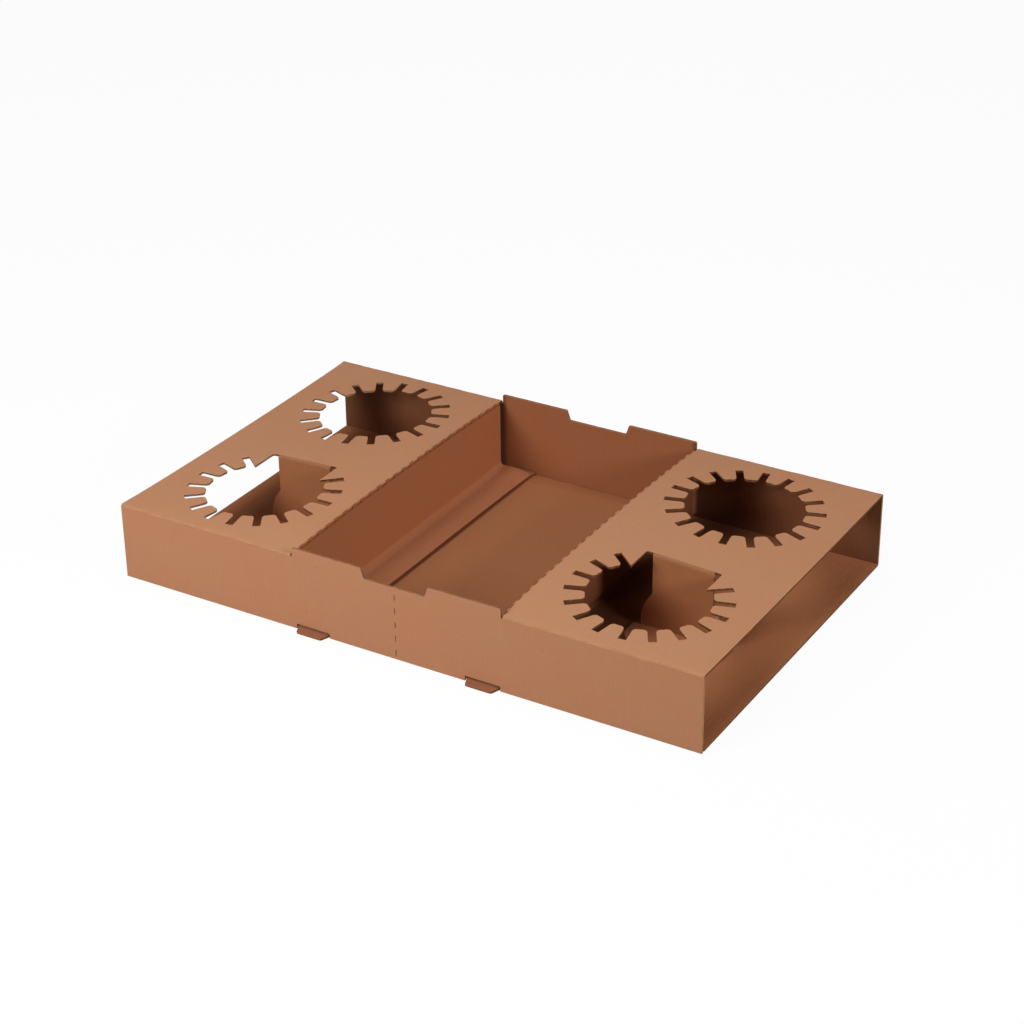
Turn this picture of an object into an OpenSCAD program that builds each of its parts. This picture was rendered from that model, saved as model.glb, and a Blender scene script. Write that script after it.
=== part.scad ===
// Carrier tray for four cups with a well between them, folded from one
// die-cut corrugated board and glued into an open-ended sleeve.
// Millimetres, +Z up, front at -Y. The origin is on the table, under the
// middle of the tray.
// The board is divided into its panels at the creases and at the tear line
// that runs round the sleeve at x = 0. At each folding crease the hinge axis
// is the corner of the two panels' middle planes.

/* [Tray] */
// Length over the two open ends
tray_l = 380; // [340:1:420]
// Depth over the front and back walls
tray_d = 232; // [222:1:260]
// Height of the top panels' upper face over the table
tray_h = 48; // [44:0.5:52]
// Thickness of the corrugated board
board_t = 1.5; // [1:0.1:1.8]

/* [Well] */
// Clear width between the well's two side walls
well_w = 135.6; // [126:0.1:146]
// Height of the walls' lips over the top panels
lip_rise = 4.2; // [3:0.1:6]
// Gap between the end of a lip and the top panel
lip_relief = 1; // [0.5:0.1:1.5]
// Radius of the lips' corners
lip_corner_r = 0.9; // [0.4:0.1:1.4]
// Width of the notch between the lips, at the lips' top
notch_top_w = 44; // [40:0.5:50]
// Width of the notch between the lips, at its bottom
notch_bottom_w = 39.5; // [34:0.5:39.5]
// Depth of the notch's bottom under the top panels' upper face
notch_drop = 2.2; // [1:0.1:4]
// Gap between the two feet when both well walls are folded up flat
feet_gap = 1.2; // [0.6:0.1:3]
// Clearance between the floor and the feet that lie on it
foot_clear = 0.2; // [0.1:0.1:0.5]

/* [Lock tabs] */
// How far a lock tab stands out of the wall
tab_reach = 5; // [3:0.5:8]
// Distance from the foot's crease to the lock tab's outer edge
tab_inset = 1.7; // [1:0.1:4]
// How much a lock tab narrows on each side towards its tip
tab_taper = 2.4; // [0.5:0.1:4]
// Radius of a lock tab's tip corners
tab_corner_r = 1.6; // [0.5:0.1:1.7]
// How far a lock tab's tip bends down under the foot
tab_dip = 1.6; // [0.5:0.1:1.6]
// Height of the slot that a lock tab goes through, from the table
lock_slot_h = 3.1; // [2.9:0.1:4]
// Run of that slot into the floor, from the wall's outer face
lock_slot_run = 4.5; // [3.6:0.1:5]
// Side clearance of a lock tab in its slot
lock_slot_gap = 0.5; // [0.3:0.1:1]

/* [Cup holes] */
// Board left between the slots and the tray's open end
end_web = 15; // [9:0.5:20]
// Board left, at the least, between the slots and the well's side wall
well_web = 11.7; // [8:0.1:18]
// Board left between the slots and the nearer wall's outer face
wall_web = 10; // [7:0.5:15]
// Board left, at the least, between a back hole's slots and a flap's fold line
middle_web = 30; // [20:0.5:40]
// Length of the fingers round a hole
finger_l = 12; // [8:0.5:14]
// Width of a slot between two fingers, as a share of the fingertips' radius
slot_share = 0.134; // [0.08:0.001:0.14]
// Radius of the fingertips' corners, as a share of the fingertips' radius
tip_share = 0.071; // [0.03:0.001:0.072]

/* [Divider flaps] */
// How far the flap's fold line is inside the circle of the slots' ends
fold_back = 6; // [3:0.5:8]
// Width of the flap's neck, as a share of the fingertips' diameter
neck_share = 0.543; // [0.42:0.001:0.56]
// Width of the cut on each side of the neck
neck_slot_w = 4.4; // [2.5:0.1:4.6]
// Radius of the cuts' outer corners
neck_corner_r = 1.4; // [0.5:0.1:1.6]
// Radius of the flare under the neck, as a share of the fingertips' radius
flare_share = 0.743; // [0.68:0.001:0.77]
// Width of the flap's foot, as a share of the fingertips' diameter
foot_share = 0.871; // [0.75:0.001:0.88]
// Gap between the flap's foot and the fingertips when it is folded up flat
kerf = 0.5; // [0.3:0.1:1]

/* [Seam] */
// Height of the glue flap's top edge over the table
glue_flap_h = 36; // [24:1:42]
// How far the glue flap's ends slant in
glue_flap_slant = 8; // [4:1:14]
// Thickness of the glue between the front wall and the glue flap
glue_t = 0.2; // [0.1:0.1:0.3]
// Width of a glue line
glue_line_w = 8; // [4:1:12]

/* [Cut creases and tear line] */
// Spacing of the cuts along a cut crease and along the tear line
cut_pitch = 8.8; // [6:0.2:12]
// Length of a board bridge between two cuts of a well crease
bridge_len = 4.4; // [3:0.2:5]
// Length of a cut of the tear line
tear_cut_len = 3.8; // [2:0.2:5]
// Width of a cut of the tear line
tear_cut_w = 0.5; // [0.3:0.1:0.8]

/* [Hidden] */
$fn = 64;

half_l = tray_l / 2;
half_d = tray_d / 2;
half_t = board_t / 2;
// Overrun of a cutting solid past the faces that it cuts
over = 1;

// Heights: the feet lie on the floor, the upper hinge axes lie in the top
// panels' middle plane and the lower ones in the feet's middle plane
foot_z = board_t + foot_clear;
foot_top_z = foot_z + board_t;
low_axis_z = foot_z + half_t;
high_axis_z = tray_h - half_t;
panel_under_z = tray_h - board_t;
wall_run = high_axis_z - low_axis_z;

// Well: the side walls' middle plane, the flaps' ends and the feet
well_axis_x = well_w / 2 + half_t;
panel_edge_x = well_axis_x + half_t;
flap_end_y = half_d - board_t - lip_rise;
foot_edge_x = wall_run + feet_gap / 2;
lip_end_x = panel_edge_x - lip_relief;
lip_top_z = tray_h + lip_rise;
notch_z = tray_h - notch_drop;

// Lock tabs
tab_outer_x = well_axis_x - tab_inset;
tab_run = half_d + tab_reach - flap_end_y;
tab_bend_run = half_d - lock_slot_run - flap_end_y;
tab_wall_run = half_d - board_t - flap_end_y;
inner_slot_h = foot_top_z + foot_clear;

// Cup holes: their size is what the webs leave free of the top panel, along
// its length and from front to back, whichever is less
end_r_along = (half_l - panel_edge_x - end_web - well_web) / 2;
end_r_across = (tray_d - 2 * wall_web - middle_web + fold_back) / 4;
slot_end_r = min(end_r_along, end_r_across);
grip_r = slot_end_r - finger_l;
slot_w = slot_share * grip_r;
tip_r = tip_share * grip_r;
hole_x = half_l - end_web - slot_end_r;
hole_y = half_d - wall_web - slot_end_r;
slot_step = 20;
neck_slot_angle = 40;
tip_centre_r = grip_r + tip_r;
tip_centre_side = slot_w / 2 + tip_r;
tip_turn = asin(tip_centre_side / tip_centre_r);
tip_centre_along = tip_centre_r * cos(tip_turn);
tip_steps = 5;
tip_first_step = 2;
tip_bite = 0.4;

// Divider flaps
fold_offset = slot_end_r - fold_back;
neck_w = neck_share * 2 * grip_r;
flare_r = flare_share * grip_r;
divider_foot_w = foot_share * 2 * grip_r;
neck_cut_x = neck_w / 2 + neck_slot_w;
fold_edge_y = fold_offset + half_t;
fold_y = -hole_y + fold_offset;
flat_foot_y = fold_offset - wall_run;

// Seam
seam_y = -half_d + board_t;
glue_flap_y = seam_y + glue_t;

// Kraft board in light and in shade, and set glue
kraft = [0.72, 0.50, 0.37];
kraft_wall = [0.68, 0.46, 0.33];
kraft_inner = [0.58, 0.38, 0.26];
kraft_flap = [0.63, 0.42, 0.30];
kraft_crease = [0.76, 0.55, 0.42];
glue_colour = [0.90, 0.86, 0.74];

function unit(v) = v / norm(v);
function turned(p, a) = [p.x * cos(a) - p.y * sin(a), p.x * sin(a) + p.y * cos(a)];

// Points of a corner at b, between a and c, rounded with radius r
function corner(a, b, c, r, steps = 5) =
    let(u = unit(a - b), v = unit(c - b), half = acos(u * v) / 2)
    let(mid = b + unit(u + v) * r / sin(half))
    let(p = b + u * r / tan(half) - mid, q = b + v * r / tan(half) - mid)
    let(from = atan2(p.y, p.x), turn = (atan2(q.y, q.x) - from + 540) % 360 - 180)
    r == 0 ? [b] : [for (i = [0:steps]) mid + r * [cos(from + turn * i / steps), sin(from + turn * i / steps)]];

// Outline from corners given as [place, radius]
function rounded(list) =
    let(n = len(list))
    [for (i = [0:n - 1]) each corner(list[(i + n - 1) % n][0], list[i][0], list[(i + 1) % n][0], list[i][1])];

// Builds the right half's piece as it is, or mirrored for the left half
module on_side(side) {
    mirror([side < 0 ? 1 : 0, 0, 0]) children();
}

// A sheet drawn in X and Z that stands with its front face at y_front
module upright(y_front) {
    translate([0, y_front + board_t, 0]) rotate([90, 0, 0]) linear_extrude(board_t) children();
}

// A rod of board thickness along Y at a crease's axis
module crease_rod_y(x, z, y0, y1) {
    translate([x, y0, z]) rotate([-90, 0, 0]) cylinder(r = half_t, h = y1 - y0);
}

// Profile, in Y and Z, of a level panel whose long edges are round bends
module bent_panel_profile(y0, y1, z_inner, z_outer) {
    translate([y0 + board_t, min(z_inner, z_outer)]) square([y1 - y0 - 2 * board_t, board_t]);
    for (y = [y0 + board_t, y1 - board_t]) intersection() {
        translate([y, z_inner]) circle(r = board_t);
        translate([y < (y0 + y1) / 2 ? y - board_t : y, min(z_inner, z_outer)]) square(board_t);
    }
}

// A level panel from x0 to x1, made from that profile
module bent_panel(x0, x1, y0, y1, z_inner, z_outer) {
    translate([x0, 0, 0]) rotate([90, 0, 90]) linear_extrude(x1 - x0)
        bent_panel_profile(y0, y1, z_inner, z_outer);
}

// Room that a lock tab's slot takes out of a wall and the floor's edge
module lock_slot(y_side, top = lock_slot_h) {
    x0 = foot_edge_x - lock_slot_gap;
    x1 = tab_outer_x + lock_slot_gap;
    y0 = half_d - lock_slot_run;
    mirror([0, y_side < 0 ? 1 : 0, 0]) translate([x0, y0, -over])
        cube([x1 - x0, lock_slot_run + over, top + over]);
}

// Cuts of the tear line in an upright sheet, from z0 up to z1
module tear_cuts_upright(z0, z1) {
    first = z0 + (cut_pitch - tear_cut_len) / 2;
    for (z = [first:cut_pitch:z1 - tear_cut_len / 2])
        translate([-tear_cut_w / 2, -tray_d, z]) cube([tear_cut_w, 2 * tray_d, tear_cut_len]);
}

// Cuts of the tear line in the floor
module tear_cuts_level() {
    count = floor((tray_d - 2 * cut_pitch) / cut_pitch);
    first = -(count * cut_pitch + tear_cut_len) / 2;
    for (i = [0:count])
        translate([-tear_cut_w / 2, first + i * cut_pitch, -over])
            cube([tear_cut_w, tear_cut_len, board_t + 2 * over]);
}

module floor_half(side) {
    color(kraft_inner) on_side(side) difference() {
        bent_panel(0, half_l, glue_flap_y, half_d, board_t, 0);
        for (y_side = [-1, 1]) lock_slot(y_side);
        tear_cuts_level();
    }
}

// Outline of half a wall in X and Z: the lips stand up over the well's span,
// with the notch that the feet's lock tabs were cut from between them
module wall_outline(z_low) {
    polygon(rounded([
        [[0, z_low], 0],
        [[half_l, z_low], 0],
        [[half_l, panel_under_z], 0],
        [[lip_end_x, panel_under_z], 0],
        [[lip_end_x, lip_top_z], lip_corner_r],
        [[notch_top_w / 2, lip_top_z], lip_corner_r],
        [[notch_bottom_w / 2, notch_z], lip_corner_r],
        [[0, notch_z], 0]
    ]));
}

module front_wall(side) {
    color(kraft_wall) on_side(side) difference() {
        upright(-half_d) wall_outline(0);
        lock_slot(-1);
        tear_cuts_upright(0, notch_z);
    }
}

module back_wall(side) {
    color(kraft_inner) on_side(side) difference() {
        upright(half_d - board_t) wall_outline(board_t);
        lock_slot(1);
        tear_cuts_upright(board_t, notch_z);
    }
}

// Half of the flap that rises from the floor inside the front wall
module glue_flap(side) {
    color(kraft_inner) on_side(side) difference() {
        upright(glue_flap_y) polygon([
            [0, board_t],
            [half_l, board_t],
            [half_l - glue_flap_slant, glue_flap_h],
            [0, glue_flap_h]
        ]);
        lock_slot(-1, inner_slot_h);
        tear_cuts_upright(board_t, glue_flap_h);
    }
}

// Two lines of glue on each side of the tear line
module glue_seam() {
    line_l = half_l - glue_flap_slant - cut_pitch;
    low_z = inner_slot_h + glue_line_w / 2;
    high_z = glue_flap_h - 3 * glue_line_w / 2;
    color(glue_colour) for (side = [-1, 1], z = [low_z, high_z])
        on_side(side) translate([cut_pitch / 2, seam_y, z]) cube([line_l, glue_t, glue_line_w]);
}

// Outline of one slot in its own frame, outwards along X. On a side that is
// a whole finger's, it begins at that finger's rounded tip.
function tip_points() = concat(
    [turned([grip_r - tip_bite, 0], -tip_turn)],
    [for (i = [tip_first_step:tip_steps])
        let(a = 180 - tip_turn - (90 - tip_turn) * i / tip_steps)
        [tip_centre_along + tip_r * cos(a), -tip_centre_side + tip_r * sin(a)]]);
function flipped(list) = [for (i = [len(list) - 1:-1:0]) [list[i].x, -list[i].y]];
function slot_low_side() = concat(tip_points(), [[slot_end_r, -slot_w / 2]]);
function slot_points() = concat(slot_low_side(), flipped(slot_low_side()));

// Next to the neck, a slot's plain side runs in to the neck's cut
neck_meet = (neck_cut_x + slot_w / 2 * sin(neck_slot_angle)) / cos(neck_slot_angle);
function slot_by_neck() = concat(
    slot_low_side(),
    [[slot_end_r, slot_w / 2], [neck_meet, slot_w / 2]]);

// All the slots of a plain hole
module slots_all_round() {
    polygon([for (a = [0:slot_step:360 - slot_step]) each [for (p = slot_points()) turned(p, a)]]);
}

// The slots of a hole with a divider flap leave the neck's side free
module slots_round_neck() {
    first = 180 - neck_slot_angle;
    last = 360 + neck_slot_angle;
    start = [for (p = flipped(slot_by_neck())) turned(p, first)];
    middle = [for (a = [first + slot_step:slot_step:last - slot_step]) each [for (p = slot_points()) turned(p, a)]];
    end = [for (p = slot_by_neck()) turned(p, last)];
    polygon(concat(start, middle, end));
}

// Plain cup hole
module plain_hole() {
    circle(r = grip_r);
    slots_all_round();
}

// Cup hole with the neck's cuts: the two fingers beside the neck keep their
// pointed tips inside the fingertips' circle
module necked_hole() {
    reach = 2 * slot_end_r;
    difference() {
        circle(r = grip_r);
        for (s = [-1, 1]) polygon([
            [s * neck_cut_x, neck_cut_x * tan(neck_slot_angle)],
            [s * reach * cos(neck_slot_angle), reach * sin(neck_slot_angle)],
            [s * neck_cut_x, reach]
        ]);
    }
    slots_round_neck();
    polygon(rounded([
        [[-neck_cut_x, 0], 0],
        [[neck_cut_x, 0], 0],
        [[neck_cut_x, fold_edge_y], neck_corner_r],
        [[-neck_cut_x, fold_edge_y], neck_corner_r]
    ]));
}

module top_panel(side) {
    color(kraft) on_side(side) difference() {
        bent_panel(panel_edge_x, half_l, -half_d, half_d, panel_under_z, tray_h);
        translate([hole_x, 0, panel_under_z - over]) linear_extrude(board_t + 2 * over) {
            translate([0, hole_y]) plain_hole();
            translate([0, -hole_y]) necked_hole();
        }
    }
}

// Row of board bridges that carry a well wall on its top panel
module well_crease(side) {
    count = floor((2 * flap_end_y - bridge_len) / cut_pitch);
    first = -(count * cut_pitch + bridge_len) / 2;
    color(kraft_crease) on_side(side) for (i = [0:count])
        crease_rod_y(well_axis_x, high_axis_z, first + i * cut_pitch, first + i * cut_pitch + bridge_len);
}

module well_wall(side) {
    color(kraft_flap) on_side(side)
        translate([well_axis_x - half_t, -flap_end_y, foot_top_z])
            cube([board_t, 2 * flap_end_y, wall_run - board_t]);
}

module foot_crease(side) {
    color(kraft_crease) on_side(side)
        crease_rod_y(well_axis_x, low_axis_z, -flap_end_y, flap_end_y);
}

module well_foot(side) {
    foot_w = well_axis_x - half_t - foot_edge_x;
    color(kraft_flap) on_side(side)
        translate([foot_edge_x, -flap_end_y, foot_z]) cube([foot_w, 2 * flap_end_y, board_t]);
}

// Lock tab at one end of a foot: its outline from above, cut with its
// profile from the side, which steps down through the slot to the table
module lock_tab(side, y_side) {
    color(kraft_flap) on_side(side) mirror([0, y_side < 0 ? 1 : 0, 0]) intersection() {
        translate([0, flap_end_y, 0]) linear_extrude(tray_h) polygon(rounded([
            [[foot_edge_x, 0], 0],
            [[tab_outer_x, 0], 0],
            [[tab_outer_x, tab_wall_run], 0],
            [[tab_outer_x - tab_taper, tab_run], tab_corner_r],
            [[foot_edge_x + tab_taper, tab_run], tab_corner_r],
            [[foot_edge_x, tab_wall_run], 0]
        ]));
        translate([0, flap_end_y, foot_z]) rotate([90, 0, 90]) linear_extrude(tray_l) polygon([
            [0, 0],
            [tab_bend_run, 0],
            [tab_wall_run, -tab_dip],
            [tab_run, -tab_dip],
            [tab_run, board_t - tab_dip],
            [tab_wall_run, board_t - tab_dip],
            [tab_bend_run, board_t],
            [0, board_t]
        ]);
    }
}

module divider_crease(side) {
    color(kraft_crease) on_side(side) translate([hole_x - neck_w / 2, fold_y, high_axis_z])
        rotate([0, 90, 0]) cylinder(r = half_t, h = neck_w);
}

// Divider flap: neck at the top, flared below to an arc about the hole's
// centre, as it lies in the flat board
module divider_flap(side) {
    lift = low_axis_z - flat_foot_y;
    color(kraft_flap) on_side(side) translate([hole_x, 0, 0]) upright(fold_y - half_t) intersection() {
        translate([-grip_r, foot_top_z]) square([2 * grip_r, wall_run - board_t]);
        union() {
            translate([0, lift]) circle(r = flare_r);
            translate([-neck_w / 2, lift]) square([neck_w, fold_offset]);
        }
    }
}

module divider_foot_crease(side) {
    rod_l = 2 * sqrt(flare_r * flare_r - flat_foot_y * flat_foot_y);
    color(kraft_crease) on_side(side) translate([hole_x - rod_l / 2, fold_y, low_axis_z])
        rotate([0, 90, 0]) cylinder(r = half_t, h = rod_l);
}

// Foot of a divider flap: it fits inside the fingertips' circle in the flat
// board, and lies on the floor in front of the flap
module divider_foot(side) {
    color(kraft_flap) on_side(side) translate([hole_x, -hole_y + wall_run, foot_z]) linear_extrude(board_t)
        intersection() {
            circle(r = grip_r - kerf);
            translate([-divider_foot_w / 2, -grip_r])
                square([divider_foot_w, grip_r + flat_foot_y - half_t]);
        }
}

floor_half(-1);  // floor_left
floor_half(1);  // floor_right
front_wall(-1);  // front_wall_left
front_wall(1);  // front_wall_right
back_wall(-1);  // back_wall_left
back_wall(1);  // back_wall_right
top_panel(-1);  // top_panel_left
top_panel(1);  // top_panel_right
glue_flap(-1);  // glue_flap_left
glue_flap(1);  // glue_flap_right
glue_seam();
well_crease(-1);  // well_crease_left
well_crease(1);  // well_crease_right
well_wall(-1);  // well_wall_left
well_wall(1);  // well_wall_right
foot_crease(-1);  // foot_crease_left
foot_crease(1);  // foot_crease_right
well_foot(-1);  // well_foot_left
well_foot(1);  // well_foot_right
lock_tab(-1, -1);  // lock_tab_front_left
lock_tab(1, -1);  // lock_tab_front_right
lock_tab(-1, 1);  // lock_tab_back_left
lock_tab(1, 1);  // lock_tab_back_right
divider_crease(-1);  // divider_crease_left
divider_crease(1);  // divider_crease_right
divider_flap(-1);  // divider_flap_left
divider_flap(1);  // divider_flap_right
divider_foot_crease(-1);  // divider_foot_crease_left
divider_foot_crease(1);  // divider_foot_crease_right
divider_foot(-1);  // divider_foot_left
divider_foot(1);  // divider_foot_right
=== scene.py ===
"""Cup carrier tray of brown kraft corrugated board, dressed for rendering.

Every flat panel is a copy of its CAD solid with softened cut edges. The voids of
the fluting are cut through walls, top panels and glue flap, and into the flaps
where a cut end shows them, so that the edges that cross the flutes show liner,
medium and liner. The folds that move are boards bent round a radius between the
pieces that they join.
"""

import logging
import math
from dataclasses import dataclass, field
from enum import Enum

import bmesh
import bpy
from mathutils import Matrix, Vector, noise


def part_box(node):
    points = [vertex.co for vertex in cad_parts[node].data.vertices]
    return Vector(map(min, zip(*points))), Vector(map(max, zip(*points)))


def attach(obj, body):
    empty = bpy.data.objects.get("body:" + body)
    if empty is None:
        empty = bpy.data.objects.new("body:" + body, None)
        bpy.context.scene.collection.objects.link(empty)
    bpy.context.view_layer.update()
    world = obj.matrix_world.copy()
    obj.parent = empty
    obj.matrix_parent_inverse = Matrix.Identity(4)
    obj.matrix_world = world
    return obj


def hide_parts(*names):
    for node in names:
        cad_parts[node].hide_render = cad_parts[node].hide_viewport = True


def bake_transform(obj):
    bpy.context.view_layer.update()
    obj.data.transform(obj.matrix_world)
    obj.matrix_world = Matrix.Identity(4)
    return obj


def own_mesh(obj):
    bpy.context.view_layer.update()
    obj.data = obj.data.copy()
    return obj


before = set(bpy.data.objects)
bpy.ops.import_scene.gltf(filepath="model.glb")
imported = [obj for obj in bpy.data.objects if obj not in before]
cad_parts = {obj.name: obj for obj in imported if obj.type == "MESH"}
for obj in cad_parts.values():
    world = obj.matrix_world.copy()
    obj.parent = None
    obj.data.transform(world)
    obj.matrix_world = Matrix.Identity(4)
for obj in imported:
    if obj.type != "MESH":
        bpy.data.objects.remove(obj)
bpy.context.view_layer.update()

log = logging.getLogger("carrier_tray")
# Least share of a face's normal along an axis, for the face to look that way:
# with the bevels beside it, and without them
FACING = 0.6
SQUARE = 0.8
# Length of one wave of the Wave texture at a scale of 1
WAVE_LENGTH = 2 * math.pi / 20


class Axis(Enum):
    """An axis of the row frame, by its place in a vector."""

    X = 0
    Y = 1
    Z = 2

    @property
    def unit(self) -> Vector:
        """The axis as a unit vector."""
        return Vector([float(i == self.value) for i in range(3)])


class Side(Enum):
    """Which half of the tray a piece belongs to; the value is the sign of X."""

    LEFT = -1
    RIGHT = 1

    @property
    def word(self) -> str:
        """The side's name as the CAD nodes and bodies use it."""
        return self.name.lower()


class Row(Enum):
    """Which long edge of the tray a piece lies at; the value is the sign of Y."""

    FRONT = -1
    BACK = 1

    @property
    def word(self) -> str:
        """The row's name as the CAD nodes use it."""
        return self.name.lower()


@dataclass(frozen=True)
class TraySizes:
    """Sizes of the tray that the dressed pieces share with the CAD, in metres.

    The last four belong to the dressing alone: the solid board left beside the
    flutes' voids, how far a cutting shape reaches past the board, how far a
    bend's axis stays off the board's corner, and how near two places count as
    one.
    """

    half_l: float = 0.190
    half_d: float = 0.116
    top_z: float = 0.048
    board: float = 0.0015
    wall_x: float = 0.06855
    panel_edge_x: float = 0.0693
    flap_end_y: float = 0.1103
    foot_edge_x: float = 0.0454
    low_axis_z: float = 0.00245
    panel_under_z: float = 0.0465
    cut_pitch: float = 0.0088
    bridge_len: float = 0.0044
    bridges: int = 25
    hole_x: float = 0.128
    fold_edge_y: float = -0.01725
    flap_front_y: float = -0.01875
    foot_top_z: float = 0.0032
    neck_w: float = 0.038
    tear_half: float = 0.00025
    margin: float = 0.0004
    over: float = 0.001
    axis_gap: float = 0.00003
    near: float = 0.00001

    @property
    def half_t(self) -> float:
        """Half the board's thickness."""
        return self.board / 2


TRAY = TraySizes()


# Finishes


def linear(red: int, green: int, blue: int) -> tuple[float, float, float, float]:
    """Turn an 8-bit display colour into the linear colour that a node takes.

    Args:
        red: Red, 0 to 255.
        green: Green, 0 to 255.
        blue: Blue, 0 to 255.

    Returns:
        The linear colour with alpha 1.
    """
    parts = [c / 255 for c in (red, green, blue)]
    done = [c / 12.92 if c <= 0.04045 else ((c + 0.055) / 1.055) ** 2.4 for c in parts]
    return (done[0], done[1], done[2], 1.0)


def tint(colour: tuple[float, ...], share: float) -> tuple[float, ...]:
    """Scale a linear colour's light, to 1 at most, with alpha 1."""
    return tuple(min(1.0, c * share) for c in colour[:3]) + (1.0,)


class NodeTree:
    """Small builder for one material's nodes."""

    def __init__(self, name: str) -> None:
        """Start an empty material.

        Args:
            name: The material's name.
        """
        self.material = bpy.data.materials.new(name)
        self.material.use_nodes = True
        self.tree = self.material.node_tree
        self.tree.nodes.clear()

    def add(self, kind: str, **settings: object) -> bpy.types.Node:
        """Add a node.

        Args:
            kind: The node's type name without the ShaderNode prefix.
            **settings: Node properties, or inputs by name where the name
                is one of the node's sockets.

        Returns:
            The new node.
        """
        node = self.tree.nodes.new("ShaderNode" + kind)
        for key, value in settings.items():
            socket = node.inputs.get(key.replace("_", " "))
            if socket is not None and not hasattr(node, key):
                socket.default_value = value
            else:
                setattr(node, key, value)
        return node

    def link(self, source: bpy.types.NodeSocket, target: bpy.types.NodeSocket) -> None:
        """Join an output socket to an input socket."""
        self.tree.links.new(source, target)

    def maths(self, operation: str, first: object, second: object = 0.0) -> bpy.types.NodeSocket:
        """Add a Math node.

        Args:
            operation: The operation's name.
            first: A socket or a number.
            second: A socket or a number.

        Returns:
            The result's socket.
        """
        node = self.add("Math", operation=operation)
        for index, value in enumerate((first, second)):
            if isinstance(value, bpy.types.NodeSocket):
                self.link(value, node.inputs[index])
            else:
                node.inputs[index].default_value = value
        return node.outputs[0]

    def mix(self, share: object, low: object, high: object) -> bpy.types.NodeSocket:
        """Mix two colours.

        Args:
            share: Socket or number from 0, all low, to 1, all high.
            low: A colour or a socket.
            high: A colour or a socket.

        Returns:
            The mixed colour's socket.
        """
        node = self.add("Mix", data_type="RGBA")
        for index, value in ((0, share), (6, low), (7, high)):
            if isinstance(value, bpy.types.NodeSocket):
                self.link(value, node.inputs[index])
            else:
                node.inputs[index].default_value = value
        return node.outputs[2]

    def stretched(
        self, scale: tuple[float, float, float] = (1.0, 1.0, 1.0), turn: float = 0.0
    ) -> bpy.types.NodeSocket:
        """Object coordinates, turned and then scaled.

        Args:
            scale: Scale along the three axes, per metre.
            turn: Turn about Z in degrees; half of it is added about X and a
                third about Y.

        Returns:
            The vector's socket.
        """
        place = self.add("TexCoord").outputs["Object"]
        if turn:
            turned = self.add("Mapping", vector_type="POINT")
            turned.inputs["Rotation"].default_value = [math.radians(turn / part) for part in (2, 3, 1)]
            self.link(place, turned.inputs["Vector"])
            place = turned.outputs["Vector"]
        mapping = self.add("Mapping", vector_type="POINT")
        mapping.inputs["Scale"].default_value = scale
        self.link(place, mapping.inputs["Vector"])
        return mapping.outputs["Vector"]

    def cloud(
        self, vector: bpy.types.NodeSocket, scale: float, detail: float, rough: float = 0.5
    ) -> bpy.types.NodeSocket:
        """Noise from 0 to 1.

        Args:
            vector: Where to sample it.
            scale: The noise's scale.
            detail: Its octaves.
            rough: The octaves' roughness.

        Returns:
            The value's socket.
        """
        node = self.add("TexNoise", Scale=scale, Detail=detail, Roughness=rough)
        self.link(vector, node.inputs["Vector"])
        return node.outputs["Fac"]

    def bump(
        self, height: bpy.types.NodeSocket, strength: float, depth: float,
        under: bpy.types.NodeSocket | None = None,
    ) -> bpy.types.NodeSocket:
        """Raise the surface.

        Args:
            height: Where it rises.
            strength: How strongly the rise tells.
            depth: The rise in metres.
            under: The normal of the relief that it lies on, if any.

        Returns:
            The new normal's socket.
        """
        node = self.add("Bump", Strength=strength, Distance=depth)
        self.link(height, node.inputs["Height"])
        if under is not None:
            self.link(under, node.inputs["Normal"])
        return node.outputs["Normal"]

    def close(self, shader: bpy.types.Node) -> bpy.types.Material:
        """Lead a shader to the material's output.

        Args:
            shader: The shader's node.

        Returns:
            The finished material.
        """
        out = self.add("OutputMaterial")
        self.link(shader.outputs[0], out.inputs["Surface"])
        return self.material

    def paint_shade(
        self, colour: bpy.types.NodeSocket, place: bpy.types.NodeSocket,
        stops: tuple[tuple[float, float], ...],
    ) -> bpy.types.NodeSocket:
        """Paint shade into a colour by its distance from the tray's middle.

        Args:
            colour: The colour.
            place: Object coordinates.
            stops: Shares of the tray's half length, rising, with the share
                of the colour that is kept there.

        Returns:
            The darkened colour's socket.
        """
        spot = self.add("SeparateXYZ")
        self.link(place, spot.inputs["Vector"])
        share = self.maths("DIVIDE", self.maths("ABSOLUTE", spot.outputs["X"]), TRAY.half_l)
        band = self.add("ValToRGB")
        self.link(share, band.inputs["Fac"])
        marks = band.color_ramp.elements
        marks[0].position, marks[-1].position = stops[0][0], stops[-1][0]
        for where, _ in stops[1:-1]:
            marks.new(where)
        for mark, (_, kept) in zip(marks, stops):
            mark.color = (kept, kept, kept, 1.0)
        node = self.add("Mix", data_type="RGBA", blend_type="MULTIPLY")
        node.inputs[0].default_value = 1.0
        self.link(colour, node.inputs[6])
        self.link(band.outputs["Color"], node.inputs[7])
        return node.outputs[2]

    def ramp(self, value: bpy.types.NodeSocket, low: float, high: float) -> bpy.types.NodeSocket:
        """Stretch a band of values over 0 to 1, with soft ends.

        Args:
            value: The value's socket.
            low: The value that becomes 0.
            high: The value that becomes 1.

        Returns:
            The stretched value's socket.
        """
        node = self.add("MapRange", interpolation_type="SMOOTHSTEP")
        node.inputs["From Min"].default_value = low
        node.inputs["From Max"].default_value = high
        self.link(value, node.inputs["Value"])
        return node.outputs["Result"]


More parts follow.
